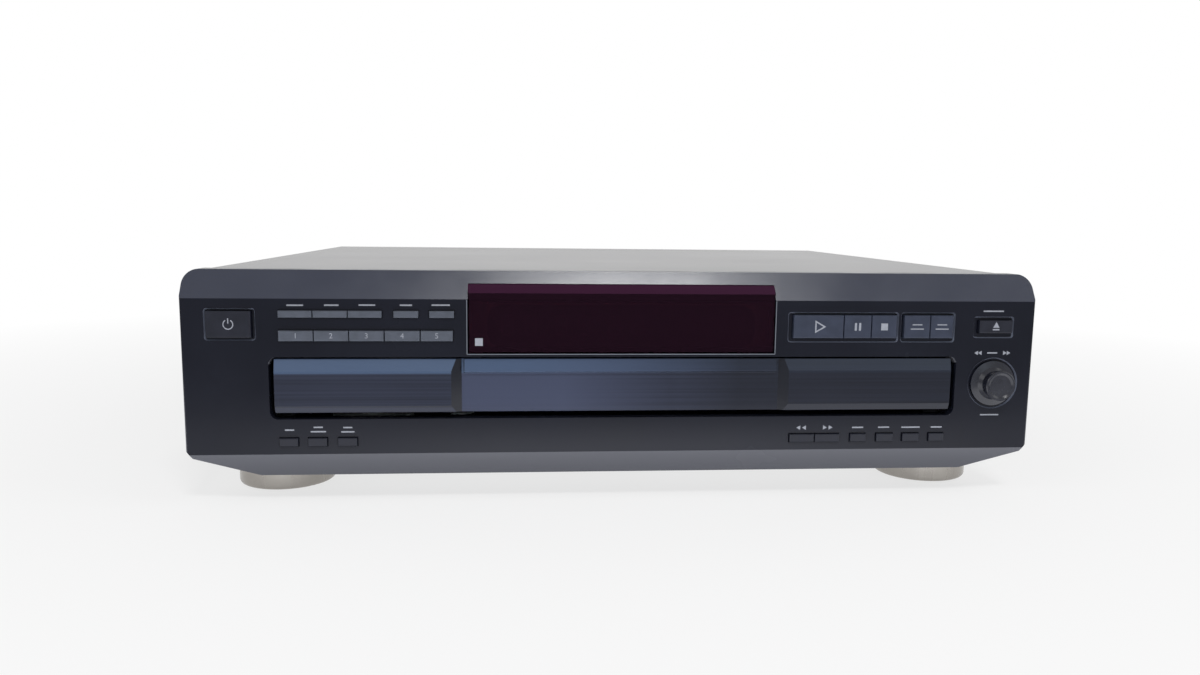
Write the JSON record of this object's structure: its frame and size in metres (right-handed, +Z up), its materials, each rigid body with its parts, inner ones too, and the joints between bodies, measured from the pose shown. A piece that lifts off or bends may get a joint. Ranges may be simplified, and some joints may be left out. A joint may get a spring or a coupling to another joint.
{
  "type": "multi disc cd changer",
  "caption": "Front-loading hi-fi disc changer: sliding tray with a turning disc carousel, laser pickup on a lifting frame, control buttons and a jog dial in a wide steel case.",
  "frame": {"origin": "on the floor under the middle of the bounding box", "axes": "+X to the right seen from the front, +Y to the back, +Z up"},
  "size_m": [0.43, 0.386, 0.1169],
  "materials": {
    "panel": "satin moulded",
    "smoked_lens": "smoked acrylic",
    "cover_paint": "textured satin paint",
    "zinc_steel": "zinc plated",
    "rear_paint": "matt paint",
    "foot_plating": "champagne plating",
    "felt": "felt",
    "screw_steel": "black zinc",
    "circuit_board": "phenolic board",
    "transformer_core": "varnished laminations",
    "jack_body": "moulded with plated barrels",
    "black_moulding": "matt moulded",
    "motor_can": "plated can",
    "belt_rubber": "rubber",
    "white_acetal": "acetal",
    "tray_moulding": "fine textured moulding",
    "door_finish": "smoked with fine lines",
    "zinc_alloy": "die cast",
    "dial_finish": "gloss",
    "button_finish": "satin"
  },
  "bodies": {
    "enclosure": {"front_panel": "panel", "display_window": "smoked_lens", "top_cover": "cover_paint", "floor_pan": "zinc_steel", "rear_panel": "rear_paint", "feet": "foot_plating", "foot_pads": "felt", "cover_screws": "screw_steel", "front_board": "circuit_board", "main_board": "circuit_board", "power_transformer": "transformer_core", "output_jacks": "jack_body", "cord_gland": "black_moulding", "mechanism_base": "black_moulding", "loading_motor": "motor_can", "loading_belt": "belt_rubber", "clamp_bridge": "zinc_steel"},
    "tray": {"tray": "tray_moulding", "tray_door": "door_finish", "carousel_motor": "motor_can", "carousel_belt": "belt_rubber"},
    "carousel": {"carousel": "tray_moulding"},
    "carousel_gear": {"carousel_gear": "white_acetal"},
    "carousel_pulley": {"carousel_pulley": "white_acetal"},
    "loading_gear": {"loading_gear": "white_acetal"},
    "loading_pulley": {"loading_pulley": "white_acetal"},
    "base_unit": {"base_unit": "black_moulding", "sled_shafts": "screw_steel"},
    "disc_table": {"disc_table": "black_moulding"},
    "pickup_sled": {"pickup_sled": "zinc_alloy"},
    "lift_slider": {"lift_slider": "white_acetal"},
    "clamper": {"clamper": "black_moulding"},
    "dial_shaft": {"dial_shaft": "zinc_alloy"},
    "jog_dial": {"jog_dial": "dial_finish"},
    "power_button": {"power_button": "button_finish"},
    "mode_1_button": {"mode_1_button": "button_finish"},
    "mode_2_button": {"mode_2_button": "button_finish"},
    "mode_3_button": {"mode_3_button": "button_finish"},
    "repeat_button": {"repeat_button": "button_finish"},
    "disc_check_button": {"disc_check_button": "button_finish"},
    "disc_1_button": {"disc_1_button": "button_finish"},
    "disc_2_button": {"disc_2_button": "button_finish"},
    "disc_3_button": {"disc_3_button": "button_finish"},
    "disc_4_button": {"disc_4_button": "button_finish"},
    "disc_5_button": {"disc_5_button": "button_finish"},
    "play_button": {"play_button": "button_finish"},
    "pause_button": {"pause_button": "button_finish"},
    "stop_button": {"stop_button": "button_finish"},
    "exchange_button": {"exchange_button": "button_finish"},
    "skip_button": {"skip_button": "button_finish"},
    "open_close_button": {"open_close_button": "button_finish"},
    "seek_back_button": {"seek_back_button": "button_finish"},
    "seek_forward_button": {"seek_forward_button": "button_finish"},
    "time_button": {"time_button": "button_finish"},
    "edit_button": {"edit_button": "button_finish"},
    "peak_button": {"peak_button": "button_finish"},
    "check_button": {"check_button": "button_finish"},
    "clear_button": {"clear_button": "button_finish"},
    "scan_button": {"scan_button": "button_finish"},
    "fader_button": {"fader_button": "button_finish"}
  },
  "joints": [
    {"name": "tray_slide", "type": "slide", "parent": "enclosure", "child": "tray", "axis": [0, -1, 0], "range_m": [0, 0.19]},
    {"name": "loading_gear_turn", "type": "hinge", "parent": "enclosure", "child": "loading_gear", "pos_m": [-0.132, -0.13405, 0.04], "axis": [0, 0, 1], "range_deg": [0, 605]},
    {"name": "loading_pulley_turn", "type": "hinge", "parent": "enclosure", "child": "loading_pulley", "pos_m": [-0.084, -0.13405, 0.035], "axis": [0, 0, 1], "range_deg": [0, 2160]},
    {"name": "carousel_turn", "type": "hinge", "parent": "tray", "child": "carousel", "pos_m": [0, 0.00095, 0.065], "axis": [0, 0, 1], "continuous": true},
    {"name": "carousel_gear_turn", "type": "hinge", "parent": "tray", "child": "carousel_gear", "pos_m": [-0.05091, -0.04996, 0.056], "axis": [0, 0, 1], "continuous": true},
    {"name": "carousel_pulley_turn", "type": "hinge", "parent": "tray", "child": "carousel_pulley", "pos_m": [-0.04015, -0.08515, 0.06], "axis": [0, 0, 1], "continuous": true},
    {"name": "base_unit_lift", "type": "hinge", "parent": "enclosure", "child": "base_unit", "pos_m": [0, 0.17295, 0.06], "axis": [-1, 0, 0], "range_deg": [0, 13.3]},
    {"name": "lift_slider_slide", "type": "slide", "parent": "enclosure", "child": "lift_slider", "axis": [0, -1, 0], "range_m": [0, 0.018]},
    {"name": "disc_table_turn", "type": "hinge", "parent": "base_unit", "child": "disc_table", "pos_m": [0, 0.10293, 0.05629], "axis": [0, -0.23, 0.9732], "continuous": true},
    {"name": "clamper_turn", "type": "hinge", "parent": "enclosure", "child": "clamper", "pos_m": [0, 0.10395, 0.076], "axis": [0, 0, 1], "continuous": true},
    {"name": "sled_slide", "type": "slide", "parent": "base_unit", "child": "pickup_sled", "axis": [0, 0.9732, 0.23], "range_m": [0, 0.033]},
    {"name": "dial_push", "type": "slide", "parent": "enclosure", "child": "dial_shaft", "axis": [0, 1, 0], "range_m": [0, 0.0006], "stiffness_N_per_m": 800},
    {"name": "dial_turn", "type": "hinge", "parent": "dial_shaft", "child": "jog_dial", "pos_m": [0.1945, -0.18405, 0.0604], "axis": [0, -1, 0], "continuous": true},
    {"name": "power_press", "type": "slide", "parent": "enclosure", "child": "power_button", "axis": [0, 1, 0], "range_m": [0, 0.0025], "stiffness_N_per_m": 300},
    {"name": "mode_1_press", "type": "slide", "parent": "enclosure", "child": "mode_1_button", "axis": [0, 1, 0], "range_m": [0, 0.001], "stiffness_N_per_m": 300},
    {"name": "mode_2_press", "type": "slide", "parent": "enclosure", "child": "mode_2_button", "axis": [0, 1, 0], "range_m": [0, 0.001], "stiffness_N_per_m": 300},
    {"name": "mode_3_press", "type": "slide", "parent": "enclosure", "child": "mode_3_button", "axis": [0, 1, 0], "range_m": [0, 0.001], "stiffness_N_per_m": 300},
    {"name": "repeat_press", "type": "slide", "parent": "enclosure", "child": "repeat_button", "axis": [0, 1, 0], "range_m": [0, 0.001], "stiffness_N_per_m": 300},
    {"name": "disc_check_press", "type": "slide", "parent": "enclosure", "child": "disc_check_button", "axis": [0, 1, 0], "range_m": [0, 0.001], "stiffness_N_per_m": 300},
    {"name": "disc_1_press", "type": "slide", "parent": "enclosure", "child": "disc_1_button", "axis": [0, 1, 0], "range_m": [0, 0.001], "stiffness_N_per_m": 300},
    {"name": "disc_2_press", "type": "slide", "parent": "enclosure", "child": "disc_2_button", "axis": [0, 1, 0], "range_m": [0, 0.001], "stiffness_N_per_m": 300},
    {"name": "disc_3_press", "type": "slide", "parent": "enclosure", "child": "disc_3_button", "axis": [0, 1, 0], "range_m": [0, 0.001], "stiffness_N_per_m": 300},
    {"name": "disc_4_press", "type": "slide", "parent": "enclosure", "child": "disc_4_button", "axis": [0, 1, 0], "range_m": [0, 0.001], "stiffness_N_per_m": 300},
    {"name": "disc_5_press", "type": "slide", "parent": "enclosure", "child": "disc_5_button", "axis": [0, 1, 0], "range_m": [0, 0.001], "stiffness_N_per_m": 300},
    {"name": "play_press", "type": "slide", "parent": "enclosure", "child": "play_button", "axis": [0, 1, 0], "range_m": [0, 0.001], "stiffness_N_per_m": 300},
    {"name": "pause_press", "type": "slide", "parent": "enclosure", "child": "pause_button", "axis": [0, 1, 0], "range_m": [0, 0.001], "stiffness_N_per_m": 300},
    {"name": "stop_press", "type": "slide", "parent": "enclosure", "child": "stop_button", "axis": [0, 1, 0], "range_m": [0, 0.001], "stiffness_N_per_m": 300},
    {"name": "exchange_press", "type": "slide", "parent": "enclosure", "child": "exchange_button", "axis": [0, 1, 0], "range_m": [0, 0.001], "stiffness_N_per_m": 300},
    {"name": "skip_press", "type": "slide", "parent": "enclosure", "child": "skip_button", "axis": [0, 1, 0], "range_m": [0, 0.001], "stiffness_N_per_m": 300},
    {"name": "open_close_press", "type": "slide", "parent": "enclosure", "child": "open_close_button", "axis": [0, 1, 0], "range_m": [0, 0.001], "stiffness_N_per_m": 300},
    {"name": "seek_back_press", "type": "slide", "parent": "enclosure", "child": "seek_back_button", "axis": [0, 1, 0], "range_m": [0, 0.001], "stiffness_N_per_m": 300},
    {"name": "seek_forward_press", "type": "slide", "parent": "enclosure", "child": "seek_forward_button", "axis": [0, 1, 0], "range_m": [0, 0.001], "stiffness_N_per_m": 300},
    {"name": "time_press", "type": "slide", "parent": "enclosure", "child": "time_button", "axis": [0, 1, 0], "range_m": [0, 0.001], "stiffness_N_per_m": 300},
    {"name": "edit_press", "type": "slide", "parent": "enclosure", "child": "edit_button", "axis": [0, 1, 0], "range_m": [0, 0.001], "stiffness_N_per_m": 300},
    {"name": "peak_press", "type": "slide", "parent": "enclosure", "child": "peak_button", "axis": [0, 1, 0], "range_m": [0, 0.001], "stiffness_N_per_m": 300},
    {"name": "check_press", "type": "slide", "parent": "enclosure", "child": "check_button", "axis": [0, 1, 0], "range_m": [0, 0.001], "stiffness_N_per_m": 300},
    {"name": "clear_press", "type": "slide", "parent": "enclosure", "child": "clear_button", "axis": [0, 1, 0], "range_m": [0, 0.001], "stiffness_N_per_m": 300},
    {"name": "scan_press", "type": "slide", "parent": "enclosure", "child": "scan_button", "axis": [0, 1, 0], "range_m": [0, 0.001], "stiffness_N_per_m": 300},
    {"name": "fader_press", "type": "slide", "parent": "enclosure", "child": "fader_button", "axis": [0, 1, 0], "range_m": [0, 0.001], "stiffness_N_per_m": 300}
  ],
  "couplings": [
    {"joint": "loading_gear_turn", "follows": "tray_slide", "rad_per_m": 55.556},
    {"joint": "loading_pulley_turn", "follows": "tray_slide", "rad_per_m": 198.01},
    {"joint": "carousel_gear_turn", "follows": "carousel_turn", "ratio": -5},
    {"joint": "carousel_pulley_turn", "follows": "carousel_turn", "ratio": -11.186},
    {"joint": "lift_slider_slide", "follows": "base_unit_lift", "m_per_rad": 0.077543},
    {"joint": "clamper_turn", "follows": "disc_table_turn", "ratio": 1}
  ]
}
